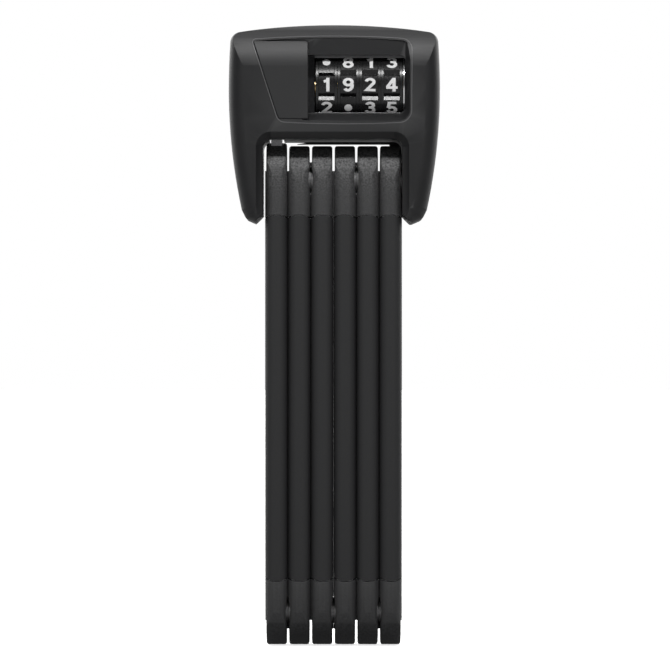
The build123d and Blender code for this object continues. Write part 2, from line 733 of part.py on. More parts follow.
with BuildPart() as dial_bezel:
    add(front_full)
    add(panel_inner, mode=Mode.INTERSECT)
    add(track.part, mode=Mode.SUBTRACT)
    add(scoop.part, mode=Mode.SUBTRACT)
    add(ledge.part, mode=Mode.SUBTRACT)
    with BuildSketch(facing(0)):
        with Locations(((WINDOW[0] + WINDOW[1]) / 2, (WINDOW[2] + WINDOW[3]) / 2)):
            RectangleRounded(WINDOW[1] - WINDOW[0], WINDOW[3] - WINDOW[2], 2.0)
    extrude(amount=HEAD_HALF_Y + 2, mode=Mode.SUBTRACT)
    # room for the wheels behind the window
    with Locations(Location(((WHEEL_X[0] + WHEEL_X[3]) / 2, WHEEL_Y, WHEEL_Z), (0, 90, 0))):
        Cylinder(WHEEL_R + DRUM_GAP, WHEEL_PITCH * WHEEL_COUNT + 1.4, mode=Mode.SUBTRACT)
    # pocket behind for the carrier's plate, and a slot for the post that holds the slide
    plate_to = PLATE_END_X + SLIDE_TRAVEL + 0.3
    with Locations(((CARRIER[0] - 1 + plate_to) / 2, (PLATE_Y[0] - 0.2 - 10) / 2, PLATE_Z)):
        Box(plate_to - CARRIER[0] + 1, -10 - PLATE_Y[0] + 0.2, PLATE_HEIGHT + 0.4, mode=Mode.SUBTRACT)
    post_from = PLATE_END_X - POST_WIDTH - 0.3
    with Locations(((post_from + plate_to) / 2, PLATE_Y[0] - 1, PLATE_Z)):
        Box(plate_to - post_from, 3, PLATE_HEIGHT + 0.4, mode=Mode.SUBTRACT)
save(dial_bezel, "dial_bezel")

# ================================================================ lock body
with BuildPart() as lock_body:
    with BuildSketch(facing(CORE_BACK_Y)):
        with Locations((0, (CORE_BOTTOM_Z + CORE_TOP_Z) / 2)):
            RectangleRounded(2 * CORE_HALF_X, CORE_TOP_Z - CORE_BOTTOM_Z, 1.5)
    extrude(amount=CORE_BACK_Y - CORE_FRONT_Y)
    with BuildSketch(across(0)):
        add(side_profile(WALL + 0.3))
    extrude(amount=40, both=True, mode=Mode.INTERSECT)
    for arm in (LEFT_ARM_CORE, ARM_CORE):
        with BuildSketch(across(arm[0])):
            with Locations((0, TOP_PIVOT_Z)):
                Circle(ARM_CORE_Y)
            with Locations((0, (TOP_PIVOT_Z + CORE_BOTTOM_Z + 1) / 2)):
                Rectangle(2 * ARM_CORE_Y, CORE_BOTTOM_Z + 1 - TOP_PIVOT_Z)
        extrude(amount=arm[1] - arm[0])
    # drum bore, open at the front
    wheels_from = WHEEL_X[0] - WHEEL_PITCH / 2 - 0.3
    wheels_to = DRUM_RIGHT_X
    with Locations(Location(((wheels_from + wheels_to) / 2, WHEEL_Y, WHEEL_Z), (0, 90, 0))):
        Cylinder(WHEEL_R + DRUM_GAP, wheels_to - wheels_from, mode=Mode.SUBTRACT)
    # dark pocket between the slide and the first wheel
    with Locations((wheels_from - 1.8, -9.2, WHEEL_Z)):
        Box(3.7, 5.4, 18.6, mode=Mode.SUBTRACT)
    with Locations(((wheels_from + wheels_to) / 2, 9.8, WHEEL_Z)):
        Box(wheels_to - wheels_from, 1.8, 18.4, mode=Mode.SUBTRACT)
    # spindle bore, bolt bore and the carrier's channel
    with Locations(Location((0, WHEEL_Y, WHEEL_Z), (0, 90, 0))):
        Cylinder(SPINDLE_R + SPINDLE_FIT, 53, mode=Mode.SUBTRACT)
    with Locations(Location((-20, BOLT_Y, BOLT_Z), (0, 90, 0))):
        Cylinder(BOLT_R + 0.1, 12, mode=Mode.SUBTRACT)
    channel_x = ((CARRIER[0] - 0.2) + (CARRIER[1] + SLIDE_TRAVEL + 0.2)) / 2
    with Locations((channel_x, (CORE_FRONT_Y + 3) / 2, 167.5)):
        Box(
            CARRIER[1] - CARRIER[0] + SLIDE_TRAVEL + 0.4,
            3 - CORE_FRONT_Y,
            18,
            mode=Mode.SUBTRACT,
        )
    add(tongue_way.part, mode=Mode.SUBTRACT)
    with Locations(Location((ARM_CORE[0] + 2, 0, TOP_PIVOT_Z), (0, 90, 0))):
        Cylinder(SHANK_R, 12, mode=Mode.SUBTRACT)
    for screw_x, screw_z in LONG_SCREWS:
        with Locations(Location((screw_x, 0, screw_z), (90, 0, 0))):
            Cylinder(SCREW_R + SCREW_FIT, 40, mode=Mode.SUBTRACT)
    for screw_x, screw_z in SHORT_SCREWS:
        with Locations(Location((screw_x, (SHORT_END_Y - 0.6 + 15) / 2, screw_z), (90, 0, 0))):
            Cylinder(SCREW_R, 15 - SHORT_END_Y + 0.6, mode=Mode.SUBTRACT)
save(lock_body, "lock_body")

# ---------------------------------------------------------------- top pivot of the head
bush_from = BAR_X[5] + BAR_PITCH / 2 + FACE_GAP
with BuildPart() as arm_bush:
    with Locations(Location(((bush_from + ARM_CORE[0]) / 2, 0, TOP_PIVOT_Z), (0, 90, 0))):
        Cylinder(HUB_R, ARM_CORE[0] - bush_from)
        Cylinder(SHANK_R, ARM_CORE[0] - bush_from, mode=Mode.SUBTRACT)
save(arm_bush, "arm_bush")

rivet_from = BAR_X[5] - CORE_THICK / 2 - FACE_GAP
rivet_to = ARM_CORE[1]
with BuildPart() as head_rivet:
    with Locations(Location(((rivet_from + rivet_to) / 2, 0, TOP_PIVOT_Z), (0, 90, 0))):
        Cylinder(SHANK_R, rivet_to - rivet_from)
    with Locations(Location((rivet_from - RIVET_HEAD_T / 2, 0, TOP_PIVOT_Z), (0, 90, 0))):
        Cylinder(RIVET_HEAD_R, RIVET_HEAD_T)
    with Locations(Location((rivet_to + 0.35, 0, TOP_PIVOT_Z), (0, 90, 0))):
        Cylinder(HUB_R - 0.4, 0.7)
save(head_rivet, "head_rivet")

# ---------------------------------------------------------------- screws
with BuildPart() as housing_screws:
    long_end_y = CORE_FRONT_Y - 1.6
    for spots, seat_y, end_y in (
        (LONG_SCREWS, LONG_SEAT_Y, long_end_y),
        (SHORT_SCREWS, SHORT_SEAT_Y, SHORT_END_Y),
    ):
        for screw_x, screw_z in spots:
            with Locations(Location((screw_x, (seat_y + end_y) / 2, screw_z), (90, 0, 0))):
                Cylinder(SCREW_R, seat_y - end_y)
            with Locations(Location((screw_x, seat_y + SCREW_HEAD_T / 2, screw_z), (90, 0, 0))):
                Cylinder(SCREW_HEAD_R, SCREW_HEAD_T)
    for spots, seat_y in ((LONG_SCREWS, LONG_SEAT_Y), (SHORT_SCREWS, SHORT_SEAT_Y)):
        for screw_x, screw_z in spots:
            with BuildSketch(facing(seat_y + SCREW_HEAD_T)):
                with Locations((screw_x, screw_z)):
                    RegularPolygon(HEX_R, 6)
            extrude(amount=HEX_DEPTH, mode=Mode.SUBTRACT)
save(housing_screws, "housing_screws")

# ================================================================ dials
for wheel in range(WHEEL_COUNT):
    x = WHEEL_X[wheel]
    half = WHEEL_PITCH / 2 - 0.05
    with BuildPart() as dial_wheel:
        with BuildSketch(Plane((x, WHEEL_Y, WHEEL_Z), x_dir=(1, 0, 0), z_dir=(0, -1, 0))):
            with BuildLine():
                Polyline(
                    (-half, RING_R),
                    (-half, COLLAR_R),
                    (-LAND_WIDTH / 2, COLLAR_R),
                    (-LAND_WIDTH / 2 + LAND_EDGE, WHEEL_R),
                    (LAND_WIDTH / 2 - LAND_EDGE, WHEEL_R),
                    (LAND_WIDTH / 2, COLLAR_R),
                    (half, COLLAR_R),
                    (half, RING_R),
                    close=True,
                )
            make_face()
        revolve(axis=Axis((x, WHEEL_Y, WHEEL_Z), (1, 0, 0)))
        # V notches part the figures; beside the dot there is only half of one
        for step in range(DIGITS):
            turn = 360 / DIGITS
            angle = math.radians((FACING_DIGIT[wheel] + step + 0.5) * turn)
            upper, lower = NOTCH_SIDE, NOTCH_SIDE
            if step == 0:
                lower = DOT_SIDE
            if step == DIGITS - 1:
                upper = DOT_SIDE
            corners = (
                (WHEEL_R + 0.3, upper),
                (WHEEL_R - NOTCH_DEPTH, 0.0),
                (WHEEL_R + 0.3, -lower),
            )
            with BuildSketch(across(x - LAND_WIDTH / 2)):
                with BuildLine():
                    Polyline(
                        *[
                            (
                                WHEEL_Y - reach * math.cos(angle) + side * math.sin(angle),
                                WHEEL_Z + reach * math.sin(angle) + side * math.cos(angle),
                            )
                            for reach, side in corners
                        ],
                        close=True,
                    )
                make_face()
            extrude(amount=LAND_WIDTH, mode=Mode.SUBTRACT)
    save(dial_wheel, f"dial_wheel_{wheel + 1}")

    with BuildPart() as code_ring:
        with Locations(Location((x, WHEEL_Y, WHEEL_Z), (0, 90, 0))):
            Cylinder(RING_R, 2 * half)
        with Locations(Location((x + RING_WEB / 2, WHEEL_Y, WHEEL_Z), (0, 90, 0))):
            Cylinder(RING_BORE_R, 2 * half - RING_WEB, mode=Mode.SUBTRACT)
        with Locations(Location((x, WHEEL_Y, WHEEL_Z), (0, 90, 0))):
            Cylinder(SPINDLE_R + SPINDLE_FIT, 2 * half, mode=Mode.SUBTRACT)
        with Locations((x - half + RING_WEB / 2, WHEEL_Y, WHEEL_Z - FIN_R + 0.4)):
            Box(RING_WEB, 1.8, 1.6, mode=Mode.SUBTRACT)
    save(code_ring, f"code_ring_{wheel + 1}")

# ---------------------------------------------------------------- spindle, carrier, bolt, slide
with BuildPart() as code_spindle:
    spindle_to = DRUM_RIGHT_X - 0.2
    with Locations(Location(((CARRIER[1] + spindle_to) / 2, WHEEL_Y, WHEEL_Z), (0, 90, 0))):
        Cylinder(SPINDLE_R, spindle_to - CARRIER[1])
    for x in WHEEL_X:
        fin_from = x - WHEEL_PITCH / 2 + 0.05 + RING_WEB + 0.25
        with Locations((fin_from + 0.5, WHEEL_Y, WHEEL_Z - (FIN_R + SPINDLE_R - 1) / 2)):
            Box(1.0, 1.4, FIN_R - SPINDLE_R + 1)
save(code_spindle, "code_spindle")

carrier_mid = (CARRIER[0] + CARRIER[1]) / 2
carrier_thick = CARRIER[1] - CARRIER[0]
SLIDE_BACK_Y = -HEAD_HALF_Y - SLIDE_RAISE + SLIDE_THICK
LEG_FRONT_Y = CORE_FRONT_Y + 0.3
LEG_BACK_Y = WHEEL_Y + 4.0
with BuildPart() as slide_carrier:
    with Locations((carrier_mid, (LEG_FRONT_Y + LEG_BACK_Y) / 2, 167.0)):
        Box(carrier_thick, LEG_BACK_Y - LEG_FRONT_Y, 16.0)
    with Locations((carrier_mid, BOLT_Y - 1, BOLT_Z)):
        Box(carrier_thick, 6, 4.4)
    # neck from the leg to the plate, the plate, and the post behind the slide
    with Locations((carrier_mid, (PLATE_Y[0] + LEG_FRONT_Y + 1) / 2, PLATE_Z - 0.5)):
        Box(carrier_thick, LEG_FRONT_Y + 1 - PLATE_Y[0], PLATE_HEIGHT - 1)
    with Locations(((CARRIER[0] + PLATE_END_X) / 2, (PLATE_Y[0] + PLATE_Y[1]) / 2, PLATE_Z)):
        Box(PLATE_END_X - CARRIER[0], PLATE_Y[1] - PLATE_Y[0], PLATE_HEIGHT)
    with Locations((PLATE_END_X - POST_WIDTH / 2, (SLIDE_BACK_Y + PLATE_Y[1]) / 2, PLATE_Z)):
        Box(POST_WIDTH, PLATE_Y[1] - SLIDE_BACK_Y, PLATE_HEIGHT)
save(slide_carrier, "slide_carrier")

with BuildPart() as lock_bolt:
    with Locations(Location(((CARRIER[1] + BOLT_TIP_X) / 2, BOLT_Y, BOLT_Z), (0, 90, 0))):
        Cylinder(BOLT_R, BOLT_TIP_X - CARRIER[1])
    chamfer(lock_bolt.faces().sort_by(Axis.X)[-1].edges(), 0.3)
save(lock_bolt, "lock_bolt")

slide_band = skin_band(SLIDE_RAISE, SLIDE_THICK)
slide_plate = slab(slide_sketch(), -HEAD_HALF_Y - 2, SCOOP_Y - 0.2)
with BuildPart() as release_slide:
    add(slide_band)
    add(slide_plate, mode=Mode.INTERSECT)
    # the lower back edge is cut away so that it clears the hollow's sloping wall
    with BuildSketch(across(-30)):
        with BuildLine():
            Polyline(
                (-HEAD_HALF_Y + 0.1, SLIDE_LOW - 0.2),
                (SLIDE_BACK_Y + 0.3, SLIDE_LOW - 0.2),
                (SLIDE_BACK_Y + 0.3, SLIDE_LOW + 1.4),
                close=True,
            )
        make_face()
    extrude(amount=40, mode=Mode.SUBTRACT)
    front_y = -HEAD_HALF_Y - SLIDE_RAISE
    front_rim = release_slide.edges().filter_by(lambda e: e.center().Y < front_y + 0.05)
    chamfer(front_rim.filter_by(lambda e: e.length > 0.5 and e.center().Z < 177.0), 0.2)
save(release_slide, "release_slide")

# ---------------------------------------------------------------- end washer and detent spring
with BuildPart() as end_washer:
    washer_x = (WHEEL_X[3] + WHEEL_PITCH / 2 + 0.05 + wheels_to) / 2
    with Locations(Location((washer_x, WHEEL_Y, WHEEL_Z), (0, 90, 0))):
        Cylinder(WHEEL_R + 0.1, WASHER_T)
        Cylinder(RING_BORE_R, WASHER_T, mode=Mode.SUBTRACT)
save(end_washer, "end_washer")

with BuildPart() as detent_spring:
    with Locations(((WHEEL_X[0] + WHEEL_X[3]) / 2, SPRING_Y, 178.4)):
        Box(WHEEL_PITCH * WHEEL_COUNT - 1, SPRING_T, 4.0)
    for x in WHEEL_X:
        with Locations((x, SPRING_Y, 170.8)):
            Box(3.6, SPRING_T, 13.0)
        with Locations(Location((x, SPRING_Y - 0.2, WHEEL_Z - 5.0), (0, 90, 0))):
            Cylinder(0.7, 3.6)
save(detent_spring, "detent_spring")
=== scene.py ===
"""Looks for the folding bike lock: materials, dial figures, floor, lights and camera."""
import json
import math

import bmesh
import bpy
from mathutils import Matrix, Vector
from mathutils.geometry import delaunay_2d_cdt


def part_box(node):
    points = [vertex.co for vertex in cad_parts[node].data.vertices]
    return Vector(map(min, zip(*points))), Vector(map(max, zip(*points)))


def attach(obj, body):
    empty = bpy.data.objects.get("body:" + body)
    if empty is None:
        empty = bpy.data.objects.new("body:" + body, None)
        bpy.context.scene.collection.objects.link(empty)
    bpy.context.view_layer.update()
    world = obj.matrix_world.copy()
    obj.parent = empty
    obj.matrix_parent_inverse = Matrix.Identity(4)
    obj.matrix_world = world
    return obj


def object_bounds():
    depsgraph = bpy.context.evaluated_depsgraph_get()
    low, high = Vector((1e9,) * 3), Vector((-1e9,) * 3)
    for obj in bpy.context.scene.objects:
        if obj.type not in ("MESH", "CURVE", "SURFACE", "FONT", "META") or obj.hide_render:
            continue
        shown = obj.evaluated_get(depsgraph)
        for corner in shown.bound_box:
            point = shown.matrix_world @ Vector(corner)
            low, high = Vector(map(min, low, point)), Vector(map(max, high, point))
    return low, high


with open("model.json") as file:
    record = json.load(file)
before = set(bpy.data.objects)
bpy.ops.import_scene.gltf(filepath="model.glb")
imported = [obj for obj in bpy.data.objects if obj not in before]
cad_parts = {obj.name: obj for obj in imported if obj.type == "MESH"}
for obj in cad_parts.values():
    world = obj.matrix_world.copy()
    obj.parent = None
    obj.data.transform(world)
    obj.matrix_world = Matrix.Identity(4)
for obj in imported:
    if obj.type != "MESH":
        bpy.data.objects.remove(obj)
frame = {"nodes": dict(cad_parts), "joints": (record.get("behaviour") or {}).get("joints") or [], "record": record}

CAD_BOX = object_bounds()
NODES = frame["nodes"]
MM = 0.001

# the colour sockets of a mix node in its colour mode
MIX_A = 6
MIX_B = 7
MIX_RESULT = 2

# ink on the dials
FIGURE_HEIGHT = 4.2 * MM
DOT_SIZE = 2.4 * MM
FIGURE_RISE = 0.03 * MM      # ink above the wheel's rim
FIGURE_SINK = 0.05 * MM      # and into it, so that no gap shows
FIGURES = 10                 # 1 to 9 and a dot in place of nought
FACING = (1, 9, 2, 4)        # the figure in the middle of the window on each wheel
STROKE = 0.19                # thickness of a level stroke, in figure heights
STEM = 0.24                  # thickness of an upright stroke
SQUEEZE = STROKE / STEM
HALF = STROKE / 2
MID = 0.40 - STEM / 2        # half the width of a round figure's centre line
BEND_ROWS = 14               # cuts across a figure, so that it bends round the rim

# floor and studio
FLOOR_RADIUS = 6.0
FLOOR_DROP = 0.0002          # below the lowest point of the bars
FLOOR_BOUNCE = (0.17, 0.17, 0.17)
FLOOR_PALE = (0.93, 0.93, 0.93)
FLOOR_PALER = (0.95, 0.95, 0.95)
FLOOR_GLOW = 0.75
FRONT_LEVEL = 0.07           # strength of the world in front, at the sides and behind
SIDE_LEVEL = 0.17
BACK_LEVEL = 2.6
KEY_PLACE = (0.0, -0.93, 0.95)
KEY_AIM = (0.0, 0.0, 0.15)
KEY_SIZE = (0.9, 0.10)
KEY_POWER = 10.5
SUN_STRENGTH = 0.9
SUN_SPREAD_DEG = 60
SUN_TILT_DEG = -25
CAMERA_PLACE = (0.0002, -1.3, 0.0954)
CAMERA_LENS = 226.3
CAMERA_SENSOR = 36.0


# ---------------------------------------------------------------- materials
def new_material(name):
    """An empty node material with its shader and output joined."""
    material = bpy.data.materials.new(name)
    material.use_nodes = True
    tree = material.node_tree
    tree.nodes.clear()
    shader = tree.nodes.new("ShaderNodeBsdfPrincipled")
    output = tree.nodes.new("ShaderNodeOutputMaterial")
    tree.links.new(shader.outputs["BSDF"], output.inputs["Surface"])
    return material, tree, shader


def object_coords(tree, stretch=(1.0, 1.0, 1.0)):
    """Object coordinates in metres, stretched along the axes."""
    coords = tree.nodes.new("ShaderNodeTexCoord")
    mapping = tree.nodes.new("ShaderNodeMapping")
    mapping.inputs["Scale"].default_value = stretch
    tree.links.new(coords.outputs["Object"], mapping.inputs["Vector"])
    return mapping.outputs["Vector"]


def noise(tree, vector, size_mm, detail=4.0, roughness=0.55):
    """Noise whose features are about size_mm across."""
    node = tree.nodes.new("ShaderNodeTexNoise")
    node.inputs["Scale"].default_value = 1000.0 / size_mm
    node.inputs["Detail"].default_value = detail
    node.inputs["Roughness"].default_value = roughness
    tree.links.new(vector, node.inputs["Vector"])
    return node.outputs["Fac"]


def remap(tree, value, low, high, from_low=0.3, from_high=0.7):
    """A value spread over a new range."""
    node = tree.nodes.new("ShaderNodeMapRange")
    node.inputs["From Min"].default_value = from_low
    node.inputs["From Max"].default_value = from_high
    node.inputs["To Min"].default_value = low
    node.inputs["To Max"].default_value = high
    tree.links.new(value, node.inputs["Value"])
    return node.outputs["Result"]


def colours(tree, value, dark, light, low=0.3, high=0.7):
    """A value turned into a colour between two ends."""
    node = tree.nodes.new("ShaderNodeValToRGB")
    node.color_ramp.elements[0].position = low
    node.color_ramp.elements[0].color = (*dark, 1.0)
    node.color_ramp.elements[1].position = high
    node.color_ramp.elements[1].color = (*light, 1.0)
    tree.links.new(value, node.inputs["Fac"])
    return node.outputs["Color"]


def mix_colour(tree, factor, first, second):
    """One colour laid over another by a factor."""
    node = tree.nodes.new("ShaderNodeMix")
    node.data_type = "RGBA"
    tree.links.new(factor, node.inputs["Factor"])
    tree.links.new(first, node.inputs["A"])
    if isinstance(second, tuple):
        node.inputs["B"].default_value = (*second, 1.0)
    else:
        tree.links.new(second, node.inputs["B"])
    return node.outputs["Result"]


def edge_wear(tree, low=0.53, high=0.62):
    """1 along sharp outside edges, 0 elsewhere."""
    geometry = tree.nodes.new("ShaderNodeNewGeometry")
    return remap(tree, geometry.outputs["Pointiness"], 0.0, 1.0, low, high)


def bump(tree, height, shader, distance_mm, strength=1.0, bevel_mm=0.0):
    """Surface relief from a height value, over slightly softened edges."""
    node = tree.nodes.new("ShaderNodeBump")
    node.inputs["Strength"].default_value = strength
    node.inputs["Distance"].default_value = distance_mm * MM
    tree.links.new(height, node.inputs["Height"])
    if bevel_mm:
        bevel = tree.nodes.new("ShaderNodeBevel")
        bevel.samples = 6
        bevel.inputs["Radius"].default_value = bevel_mm * MM
        tree.links.new(bevel.outputs["Normal"], node.inputs["Normal"])
    tree.links.new(node.outputs["Normal"], shader.inputs["Normal"])


def multiply(tree, colour, value):
    """A colour multiplied by a value."""
    node = tree.nodes.new("ShaderNodeMix")
    node.data_type = "RGBA"
    node.blend_type = "MULTIPLY"
    node.inputs["Factor"].default_value = 1.0
    tree.links.new(colour, node.inputs[MIX_A])
    tree.links.new(value, node.inputs[MIX_B])
    return node.outputs[MIX_RESULT]


def plastic(
    name, base, rough, grain_mm, relief_mm,
    specular=0.5, wear=0.035, bevel_mm=0.25, painted_highlight=None, speckle=0.0,
):
    """Black moulded plastic with fine grain, faint mottling and paler worn edges.

    The argument holding a height range in metres and the colour gained above it paints a highlight: the part grows
    lighter towards its top, as if lit from above. speckle is how far the grain lightens and darkens the colour.
    """
    material, tree, shader = new_material(name)
    vector = object_coords(tree)
    cloud = noise(tree, vector, 9.0, 3.0)
    grain = noise(tree, vector, grain_mm, 5.0, 0.62)
    dark = tuple(c * 0.86 for c in base)
    light = tuple(c * 1.16 for c in base)
    body = colours(tree, cloud, dark, light)
    # painted highlight: the colour grows lighter with height between the two levels, as if lit from above
    if painted_highlight:
        split = tree.nodes.new("ShaderNodeSeparateXYZ")
        tree.links.new(vector, split.inputs["Vector"])
        low, high, gain = painted_highlight
        height = remap(tree, split.outputs["Z"], 0.0, 1.0, low, high)
        body = mix_colour(tree, height, body, tuple(c + gain for c in base))
    if speckle:
        fleck = remap(tree, noise(tree, vector, grain_mm, 1.0), 1 - speckle, 1 + speckle)
        body = multiply(tree, body, fleck)
    worn = mix_colour(tree, edge_wear(tree), body, tuple(c + wear for c in base))
    tree.links.new(worn, shader.inputs["Base Color"])
    tree.links.new(remap(tree, grain, rough - 0.05, rough + 0.07), shader.inputs["Roughness"])
    shader.inputs["Specular IOR Level"].default_value = specular
    bump(tree, grain, shader, relief_mm, 0.6, bevel_mm)
    return material


def metal(name, base, rough, brush=(1.0, 1.0, 12.0), relief_mm=0.01, wear=0.12):
    """Brushed or turned metal with streaks and brighter worn edges."""
    material, tree, shader = new_material(name)
    vector = object_coords(tree, brush)
    streak = noise(tree, vector, 0.9, 5.0, 0.6)
    cloud = noise(tree, object_coords(tree), 5.0, 3.0)
    dark = tuple(c * 0.78 for c in base)
    light = tuple(min(1.0, c * 1.12) for c in base)
    body = colours(tree, streak, dark, light)
    stain = remap(tree, cloud, 0.0, 0.35)
    stained = mix_colour(tree, stain, body, tuple(c * 0.7 for c in base))
    worn_base = tuple(min(1.0, c + wear) for c in base)
    worn = mix_colour(tree, edge_wear(tree), stained, worn_base)
    tree.links.new(worn, shader.inputs["Base Color"])
    shader.inputs["Metallic"].default_value = 1.0
    tree.links.new(remap(tree, streak, rough - 0.07, rough + 0.09), shader.inputs["Roughness"])
    bump(tree, streak, shader, relief_mm, 0.5, 0.12)
    return material


BLACK = (0.0088, 0.0090, 0.0100)
SHEATH_BLACK = (0.0118, 0.0120, 0.0130)
CAP_BLACK = (0.0132, 0.0134, 0.0146)
DIAL_BLACK = (0.006, 0.006, 0.0065)
SEAL_GREY = (0.085, 0.085, 0.088)
MATERIALS = {
    "shell": plastic("shell_black", BLACK, 0.48, 0.28, 0.012, bevel_mm=0.2),
    "back_cover": plastic("cover_black", BLACK, 0.55, 0.30, 0.014, bevel_mm=0.2),
    "bezel": plastic("bezel_black", BLACK, 0.47, 0.26, 0.010, bevel_mm=0.15),
    "panel_seal": plastic("seal_grey", SEAL_GREY, 0.42, 0.3, 0.01, bevel_mm=0.05),
    "slide_black": plastic("slide_black", BLACK, 0.48, 0.28, 0.012, bevel_mm=0.2),
    "sheath": plastic(
        "sheath_rubber", SHEATH_BLACK, 0.56, 0.5, 0.010,
        specular=0.45, wear=0.01, bevel_mm=0.2,
    ),
    # the caps carry a painted highlight, lighter from 130 mm up to 150 mm high, where light falls just below the
    # head
    "bar_cap": plastic(
        "cap_grain", CAP_BLACK, 0.58, 0.55, 0.24,
        specular=0.6, wear=0.03, bevel_mm=0.15, painted_highlight=(0.130, 0.150, 0.10), speckle=0.7,
    ),
    "dial_black": plastic(
        "dial_gloss", DIAL_BLACK, 0.24, 0.5, 0.003,
        specular=0.6, wear=0.01, bevel_mm=0.1,
    ),
    "rivet_steel": metal("rivet_black", (0.11, 0.11, 0.115), 0.42, (1, 1, 1)),
    "hub_ring": metal("hub_grey", (0.62, 0.62, 0.63), 0.55, (1, 4, 4)),
    "core_steel": metal("core_steel", (0.42, 0.42, 0.43), 0.34),
    "tongue_steel": metal("tongue_steel", (0.40, 0.40, 0.41), 0.30, (1, 1, 14)),
    "body_steel": metal("body_steel", (0.10, 0.10, 0.105), 0.40, (1, 14, 1)),
    "screw_steel": metal("screw_black", (0.12, 0.12, 0.125), 0.38, (1, 1, 1)),
    "polished_steel": metal("washer_steel", (0.75, 0.75, 0.76), 0.12, (1, 6, 6), 0.004),
    "spring_steel": metal("spring_steel", (0.5, 0.5, 0.52), 0.25),
    "carrier_steel": metal("carrier_steel", (0.45, 0.45, 0.47), 0.3),
    "bolt_steel": metal("bolt_steel", (0.6, 0.6, 0.62), 0.2, (14, 1, 1)),
    "brass_ring": metal("ring_brass", (0.30, 0.22, 0.10), 0.34, (10, 1, 1)),
    "spindle_brass": metal("spindle_brass", (0.70, 0.50, 0.21), 0.25, (10, 1, 1)),
}
for part in frame["record"]["subparts"]:
    node = NODES[part["node"]]
    material = MATERIALS[part["material_slot"]]
    for slot in node.material_slots:
        slot.material = material
    if not node.material_slots:
        node.data.materials.append(material)


def printed_white():
    """White printing ink, a little uneven and faintly worn."""
    material, tree, shader = new_material("figure_white")
    vector = object_coords(tree)
    cloud = noise(tree, vector, 1.2, 4.0)
    speck = noise(tree, vector, 0.15, 3.0, 0.7)
    base = colours(tree, cloud, (0.80, 0.80, 0.80), (0.95, 0.95, 0.95))
    worn = mix_colour(tree, remap(tree, speck, 0.0, 0.5, 0.70, 0.80), base, (0.35, 0.35, 0.35))
    tree.links.new(worn, shader.inputs["Base Color"])
    tree.links.new(remap(tree, speck, 0.28, 0.42), shader.inputs["Roughness"])
    bump(tree, speck, shader, 0.004, 0.5)
    return material


# ---------------------------------------------------------------- dial figures
FIGURE_WHITE = printed_white()


def arc(centre_x, centre_y, radius_x, radius_y, start, end, steps=14):
    """Points along an ellipse, angles in degrees from +x, anticlockwise if end is larger."""
    points = []
    for step in range(steps + 1):
        angle = math.radians(start + (end - start) * step / steps)
        points.append(
            (centre_x + radius_x * math.cos(angle), centre_y + radius_y * math.sin(angle))
        )
    return points


def stroke(points, width, closed=False):
    """The outline or outlines of a stroke of even width along a line of points."""
    count = len(points)
    left, right = [], []
    for index in range(count):
        before = points[index - 1] if index or closed else points[index]
        after = points[(index + 1) % count] if index < count - 1 or closed else points[index]
        first = Vector((points[index][0] - before[0], points[index][1] - before[1]))
        second = Vector((after[0] - points[index][0], after[1] - points[index][1]))
        if first.length < 1e-9:
            first = second
        if second.length < 1e-9:
            second = first
        first.normalize()
        second.normalize()
        side = Vector((-first.y - second.y, first.x + second.x)).normalized()
        reach = width / 2 / max(0.5, side.dot(Vector((-first.y, first.x))))
        here = Vector(points[index])
        left.append(here + side * reach)
        right.append(here - side * reach)
    return left, right


def figure_strokes(figure):
    """Centre lines of a bold plain figure, one unit tall, each with whether it closes."""
    if figure == 1:
        return [
            ([(0.10, 0.0), (0.10, 1.0)], False),
            ([(0.14, 0.92), (0.04, 0.80), (-0.20, 0.72)], False),
        ]
    if figure == 2:
        top = arc(0.0, 1 - HALF - 0.20, MID, 0.20, 170, 0, 12)
        sweep = arc(-0.02, 0.705, MID + 0.02, 0.22, -8, -38, 4)
        return [(top + sweep + [(-MID + 0.04, HALF + 0.03), (0.40, HALF)], False)]
    if figure == 3:
        upper = arc(0.0, 0.7175, MID - 0.03, 0.1875, 165, -90, 14)
        lower = arc(0.0, 0.3125, MID, 0.2175, 90, -168, 14)
        return [(upper, False), (lower, False), ([(-0.10, 0.53), (0.04, 0.53)], False)]
    if figure == 4:
        return [
            ([(0.16, 0.0), (0.16, 1.0)], False),
            ([(0.14, 0.93), (-0.33, 0.33)], False),
            ([(-0.41, 0.29), (0.42, 0.29)], False),
        ]
    if figure == 5:
        bowl = arc(0.0, 0.32, MID, 0.225, 122, -168, 16)
        return [
            ([(0.33, 1 - HALF), (-0.18, 1 - HALF), (-0.26, 0.50)], False),
            (bowl, False),
            ([(-0.26, 0.47), (-0.12, 0.51)], False),
        ]
    if figure == 6:
        ring = arc(0.0, 0.315, MID, 0.22, 0, 350, 24)
        tail = arc(0.02, 0.56, MID + 0.02, 0.345, 40, 195, 14)
        return [(ring, True), (tail, False)]
    if figure == 7:
        return [([(-0.39, 1 - HALF), (0.28, 1 - HALF), (0.02, 0.48), (-0.08, 0.0)], False)]
    if figure == 8:
        return [
            (arc(0.0, 0.7175, MID - 0.03, 0.1875, 0, 350, 22), True),
            (arc(0.0, 0.3125, MID, 0.2175, 0, 350, 22), True),
        ]
    ring = arc(0.0, 0.685, MID, 0.22, 0, 350, 24)
    tail = arc(-0.02, 0.44, MID + 0.02, 0.345, -140, 15, 14)
    return [(ring, True), (tail, False)]


